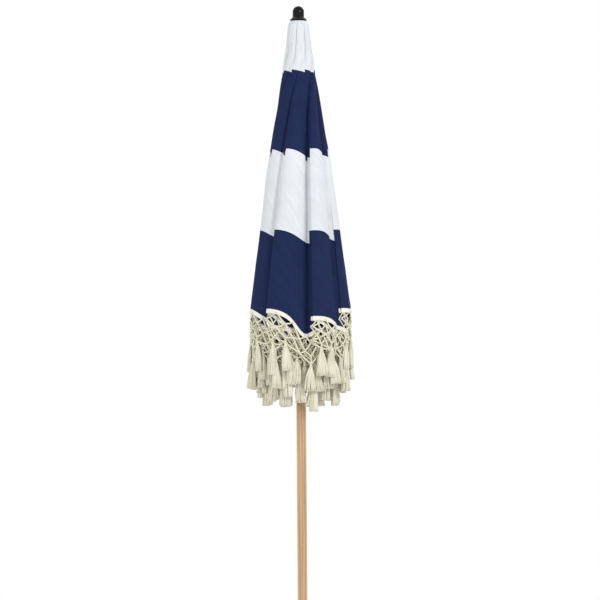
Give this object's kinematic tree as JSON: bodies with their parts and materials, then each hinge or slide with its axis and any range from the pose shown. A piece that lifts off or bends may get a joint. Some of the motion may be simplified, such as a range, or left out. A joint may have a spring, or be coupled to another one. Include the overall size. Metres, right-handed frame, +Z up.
{
  "type": "beach umbrella",
  "caption": "Wooden-pole beach umbrella with a wrapped striped canopy, macrame fringe, ribs and stretchers on a sliding runner.",
  "frame": {"origin": "tip of the ground spike, on the pole's axis", "axes": "+Z up along the pole to the finial, -Y towards the front, where the latch knob is 11.5 degrees to one side"},
  "size_m": [0.352, 0.352, 2.3],
  "materials": {
    "wood": "oiled, satin",
    "gloss_black": "gloss",
    "black_steel": "satin black paint",
    "steel": "zinc plated",
    "brass": "satin",
    "spike": "matt",
    "cloth_white": "woven canvas",
    "cloth_navy": "woven canvas",
    "fringe_cord": "twisted cotton cord"
  },
  "bodies": {
    "lower_pole": {"lower_pole": "wood", "ground_spike": "spike", "pole_ferrule": "brass", "ferrule_screws": "steel"},
    "upper_pole": {"upper_pole": "wood", "top_hub": "gloss_black", "hub_pins": "steel", "finial": "gloss_black", "finial_stud": "steel", "top_washer": "gloss_black"},
    "runner": {"runner_body": "gloss_black", "latch_spring": "steel"},
    "latch": {"runner_latch": "steel"},
    "rib_1": {"rib_1": "black_steel"},
    "stretcher_1": {"stretcher_1": "black_steel"},
    "rib_2": {"rib_2": "black_steel"},
    "stretcher_2": {"stretcher_2": "black_steel"},
    "rib_3": {"rib_3": "black_steel"},
    "stretcher_3": {"stretcher_3": "black_steel"},
    "rib_4": {"rib_4": "black_steel"},
    "stretcher_4": {"stretcher_4": "black_steel"},
    "rib_5": {"rib_5": "black_steel"},
    "stretcher_5": {"stretcher_5": "black_steel"},
    "rib_6": {"rib_6": "black_steel"},
    "stretcher_6": {"stretcher_6": "black_steel"},
    "rib_7": {"rib_7": "black_steel"},
    "stretcher_7": {"stretcher_7": "black_steel"},
    "rib_8": {"rib_8": "black_steel"},
    "stretcher_8": {"stretcher_8": "black_steel"},
    "fold_1_a": {"panel_1_a": "cloth_navy", "fringe_1": "fringe_cord"},
    "fold_1_b": {"panel_1_b": "cloth_white"},
    "fold_2_a": {"panel_2_a": "cloth_navy", "fringe_2": "fringe_cord"},
    "fold_2_b": {"panel_2_b": "cloth_white"},
    "fold_3_a": {"panel_3_a": "cloth_navy", "fringe_3": "fringe_cord"},
    "fold_3_b": {"panel_3_b": "cloth_white"},
    "fold_4_a": {"panel_4_a": "cloth_navy", "fringe_4": "fringe_cord"},
    "fold_4_b": {"panel_4_b": "cloth_white"},
    "fold_5_a": {"panel_5_a": "cloth_navy", "fringe_5": "fringe_cord"},
    "fold_5_b": {"panel_5_b": "cloth_white"},
    "fold_6_a": {"panel_6_a": "cloth_navy", "fringe_6": "fringe_cord"},
    "fold_6_b": {"panel_6_b": "cloth_white"},
    "fold_7_a": {"panel_7_a": "cloth_navy", "fringe_7": "fringe_cord"},
    "fold_7_b": {"panel_7_b": "cloth_white"},
    "fold_8_a": {"panel_8_a": "cloth_navy", "fringe_8": "fringe_cord"},
    "fold_8_b": {"panel_8_b": "cloth_white"}
  },
  "joints": [
    {"name": "pole_pull_out", "type": "slide", "parent": "lower_pole", "child": "upper_pole", "axis": [0, 0, 1], "range_m": [0, 0.12]},
    {"name": "runner_slide", "type": "slide", "parent": "upper_pole", "child": "runner", "axis": [0, 0, 1], "range_m": [0, 0.5047]},
    {"name": "latch_pull", "type": "slide", "parent": "runner", "child": "latch", "axis": [0.1994, -0.9799, 0], "range_m": [0, 0.004], "stiffness_N_per_m": 600, "springref_m": -0.002, "deforming": ["latch_spring"]},
    {"name": "rib_hinge_1", "type": "hinge", "parent": "upper_pole", "child": "rib_1", "pos_m": [0.0041, 0.0211, 2.236], "axis": [0.9816, -0.1908, 0], "range_deg": [0, 68]},
    {"name": "stretcher_hinge_1", "type": "hinge", "parent": "rib_1", "child": "stretcher_1", "pos_m": [0.01006, 0.05178, 1.78702], "axis": [-0.9816, 0.1908, 0], "range_deg": [0, 115.39]},
    {"name": "rib_hinge_2", "type": "hinge", "parent": "upper_pole", "child": "rib_2", "pos_m": [0.01782, 0.01202, 2.236], "axis": [0.5592, -0.829, 0], "range_deg": [0, 68]},
    {"name": "stretcher_hinge_2", "type": "hinge", "parent": "rib_2", "child": "stretcher_2", "pos_m": [0.04373, 0.0295, 1.78702], "axis": [-0.5592, 0.829, 0], "range_deg": [0, 115.39]},
    {"name": "rib_hinge_3", "type": "hinge", "parent": "upper_pole", "child": "rib_3", "pos_m": [0.0211, -0.0041, 2.236], "axis": [-0.1908, -0.9816, 0], "range_deg": [0, 68]},
    {"name": "stretcher_hinge_3", "type": "hinge", "parent": "rib_3", "child": "stretcher_3", "pos_m": [0.05178, -0.01006, 1.78702], "axis": [0.1908, 0.9816, 0], "range_deg": [0, 115.39]},
    {"name": "rib_hinge_4", "type": "hinge", "parent": "upper_pole", "child": "rib_4", "pos_m": [0.01202, -0.01782, 2.236], "axis": [-0.829, -0.5592, 0], "range_deg": [0, 68]},
    {"name": "stretcher_hinge_4", "type": "hinge", "parent": "rib_4", "child": "stretcher_4", "pos_m": [0.0295, -0.04373, 1.78702], "axis": [0.829, 0.5592, 0], "range_deg": [0, 115.39]},
    {"name": "rib_hinge_5", "type": "hinge", "parent": "upper_pole", "child": "rib_5", "pos_m": [-0.0041, -0.0211, 2.236], "axis": [-0.9816, 0.1908, 0], "range_deg": [0, 68]},
    {"name": "stretcher_hinge_5", "type": "hinge", "parent": "rib_5", "child": "stretcher_5", "pos_m": [-0.01006, -0.05178, 1.78702], "axis": [0.9816, -0.1908, 0], "range_deg": [0, 115.39]},
    {"name": "rib_hinge_6", "type": "hinge", "parent": "upper_pole", "child": "rib_6", "pos_m": [-0.01782, -0.01202, 2.236], "axis": [-0.5592, 0.829, 0], "range_deg": [0, 68]},
    {"name": "stretcher_hinge_6", "type": "hinge", "parent": "rib_6", "child": "stretcher_6", "pos_m": [-0.04373, -0.0295, 1.78702], "axis": [0.5592, -0.829, 0], "range_deg": [0, 115.39]},
    {"name": "rib_hinge_7", "type": "hinge", "parent": "upper_pole", "child": "rib_7", "pos_m": [-0.0211, 0.0041, 2.236], "axis": [0.1908, 0.9816, 0], "range_deg": [0, 68]},
    {"name": "stretcher_hinge_7", "type": "hinge", "parent": "rib_7", "child": "stretcher_7", "pos_m": [-0.05178, 0.01006, 1.78702], "axis": [-0.1908, -0.9816, 0], "range_deg": [0, 115.39]},
    {"name": "rib_hinge_8", "type": "hinge", "parent": "upper_pole", "child": "rib_8", "pos_m": [-0.01202, 0.01782, 2.236], "axis": [0.829, 0.5592, 0], "range_deg": [0, 68]},
    {"name": "stretcher_hinge_8", "type": "hinge", "parent": "rib_8", "child": "stretcher_8", "pos_m": [-0.0295, 0.04373, 1.78702], "axis": [-0.829, -0.5592, 0], "range_deg": [0, 115.39]},
    {"name": "fold_1_a_hinge", "type": "hinge", "parent": "rib_1", "child": "fold_1_a", "pos_m": [0.01134, 0.0185, 2.23892], "axis": [-0.0852, -0.1435, 0.986], "range_deg": [0, 69.49], "deforming": ["panel_1_a", "fringe_1"]},
    {"name": "fold_1_b_hinge", "type": "hinge", "parent": "rib_2", "child": "fold_1_b", "pos_m": [0.0126, 0.01767, 2.23892], "axis": [0.308, 0.2136, -0.9271], "range_deg": [0, 69.84], "deforming": ["panel_1_b"]},
    {"name": "fold_2_a_hinge", "type": "hinge", "parent": "rib_2", "child": "fold_2_a", "pos_m": [0.0211, 0.00506, 2.23892], "axis": [-0.1549, -0.0487, 0.9867], "range_deg": [0, 73.99], "deforming": ["panel_2_a", "fringe_2"]},
    {"name": "fold_2_b_hinge", "type": "hinge", "parent": "rib_3", "child": "fold_2_b", "pos_m": [0.0214, 0.00358, 2.23892], "axis": [0.3463, -0.0779, -0.9349], "range_deg": [0, 69.04], "deforming": ["panel_2_b"]},
    {"name": "fold_3_a_hinge", "type": "hinge", "parent": "rib_3", "child": "fold_3_a", "pos_m": [0.0185, -0.01134, 2.23892], "axis": [-0.1433, 0.0794, 0.9865], "range_deg": [0, 72], "deforming": ["panel_3_a", "fringe_3"]},
    {"name": "fold_3_b_hinge", "type": "hinge", "parent": "rib_4", "child": "fold_3_b", "pos_m": [0.01767, -0.0126, 2.23892], "axis": [0.2002, -0.3038, -0.9315], "range_deg": [0, 69.46], "deforming": ["panel_3_b"]},
    {"name": "fold_4_a_hinge", "type": "hinge", "parent": "rib_4", "child": "fold_4_a", "pos_m": [0.00506, -0.0211, 2.23892], "axis": [-0.0419, 0.161, 0.9861], "range_deg": [0, 69.92], "deforming": ["panel_4_a", "fringe_4"]},
    {"name": "fold_4_b_hinge", "type": "hinge", "parent": "rib_5", "child": "fold_4_b", "pos_m": [0.00358, -0.0214, 2.23892], "axis": [-0.0679, -0.3667, -0.9279], "range_deg": [0, 69.78], "deforming": ["panel_4_b"]},
    {"name": "fold_5_a_hinge", "type": "hinge", "parent": "rib_5", "child": "fold_5_a", "pos_m": [-0.01134, -0.0185, 2.23892], "axis": [0.0785, 0.1433, 0.9866], "range_deg": [0, 72.4], "deforming": ["panel_5_a", "fringe_5"]},
    {"name": "fold_5_b_hinge", "type": "hinge", "parent": "rib_6", "child": "fold_5_b", "pos_m": [-0.0126, -0.01767, 2.23892], "axis": [-0.3031, -0.1981, -0.9322], "range_deg": [0, 69.38], "deforming": ["panel_5_b"]},
    {"name": "fold_6_a_hinge", "type": "hinge", "parent": "rib_6", "child": "fold_6_a", "pos_m": [-0.0211, -0.00506, 2.23892], "axis": [0.1618, 0.0412, 0.986], "range_deg": [0, 69.49], "deforming": ["panel_6_a", "fringe_6"]},
    {"name": "fold_6_b_hinge", "type": "hinge", "parent": "rib_7", "child": "fold_6_b", "pos_m": [-0.0214, -0.00358, 2.23892], "axis": [-0.3688, 0.0667, -0.9271], "range_deg": [0, 69.84], "deforming": ["panel_6_b"]},
    {"name": "fold_7_a_hinge", "type": "hinge", "parent": "rib_7", "child": "fold_7_a", "pos_m": [-0.0185, 0.01134, 2.23892], "axis": [0.1432, -0.0803, 0.9864], "range_deg": [0, 71.59], "deforming": ["panel_7_a", "fringe_7"]},
    {"name": "fold_7_b_hinge", "type": "hinge", "parent": "rib_8", "child": "fold_7_b", "pos_m": [-0.01767, 0.0126, 2.23892], "axis": [-0.2024, 0.3045, -0.9307], "range_deg": [0, 69.53], "deforming": ["panel_7_b"]},
    {"name": "fold_8_a_hinge", "type": "hinge", "parent": "rib_8", "child": "fold_8_a", "pos_m": [-0.00506, 0.0211, 2.23892], "axis": [0.0431, -0.1594, 0.9863], "range_deg": [0, 70.76], "deforming": ["panel_8_a", "fringe_8"]},
    {"name": "fold_8_b_hinge", "type": "hinge", "parent": "rib_1", "child": "fold_8_b", "pos_m": [-0.00358, 0.0214, 2.23892], "axis": [0.0701, 0.3626, -0.9293], "range_deg": [0, 69.66], "deforming": ["panel_8_b"]}
  ],
  "couplings": [
    {"joint": "rib_hinge_1", "follows": "runner_slide", "rad_per_m": 2.3515},
    {"joint": "stretcher_hinge_1", "follows": "runner_slide", "rad_per_m": 3.9904},
    {"joint": "rib_hinge_2", "follows": "runner_slide", "rad_per_m": 2.3515},
    {"joint": "stretcher_hinge_2", "follows": "runner_slide", "rad_per_m": 3.9904},
    {"joint": "rib_hinge_3", "follows": "runner_slide", "rad_per_m": 2.3515},
    {"joint": "stretcher_hinge_3", "follows": "runner_slide", "rad_per_m": 3.9904},
    {"joint": "rib_hinge_4", "follows": "runner_slide", "rad_per_m": 2.3515},
    {"joint": "stretcher_hinge_4", "follows": "runner_slide", "rad_per_m": 3.9904},
    {"joint": "rib_hinge_5", "follows": "runner_slide", "rad_per_m": 2.3515},
    {"joint": "stretcher_hinge_5", "follows": "runner_slide", "rad_per_m": 3.9904},
    {"joint": "rib_hinge_6", "follows": "runner_slide", "rad_per_m": 2.3515},
    {"joint": "stretcher_hinge_6", "follows": "runner_slide", "rad_per_m": 3.9904},
    {"joint": "rib_hinge_7", "follows": "runner_slide", "rad_per_m": 2.3515},
    {"joint": "stretcher_hinge_7", "follows": "runner_slide", "rad_per_m": 3.9904},
    {"joint": "rib_hinge_8", "follows": "runner_slide", "rad_per_m": 2.3515},
    {"joint": "stretcher_hinge_8", "follows": "runner_slide", "rad_per_m": 3.9904},
    {"joint": "fold_1_a_hinge", "follows": "runner_slide", "rad_per_m": 2.403},
    {"joint": "fold_1_b_hinge", "follows": "runner_slide", "rad_per_m": 2.415},
    {"joint": "fold_2_a_hinge", "follows": "runner_slide", "rad_per_m": 2.5586},
    {"joint": "fold_2_b_hinge", "follows": "runner_slide", "rad_per_m": 2.3874},
    {"joint": "fold_3_a_hinge", "follows": "runner_slide", "rad_per_m": 2.4898},
    {"joint": "fold_3_b_hinge", "follows": "runner_slide", "rad_per_m": 2.4019},
    {"joint": "fold_4_a_hinge", "follows": "runner_slide", "rad_per_m": 2.4178},
    {"joint": "fold_4_b_hinge", "follows": "runner_slide", "rad_per_m": 2.4132},
    {"joint": "fold_5_a_hinge", "follows": "runner_slide", "rad_per_m": 2.5038},
    {"joint": "fold_5_b_hinge", "follows": "runner_slide", "rad_per_m": 2.3993},
    {"joint": "fold_6_a_hinge", "follows": "runner_slide", "rad_per_m": 2.403},
    {"joint": "fold_6_b_hinge", "follows": "runner_slide", "rad_per_m": 2.415},
    {"joint": "fold_7_a_hinge", "follows": "runner_slide", "rad_per_m": 2.4756},
    {"joint": "fold_7_b_hinge", "follows": "runner_slide", "rad_per_m": 2.4044},
    {"joint": "fold_8_a_hinge", "follows": "runner_slide", "rad_per_m": 2.4469},
    {"joint": "fold_8_b_hinge", "follows": "runner_slide", "rad_per_m": 2.4091}
  ]
}
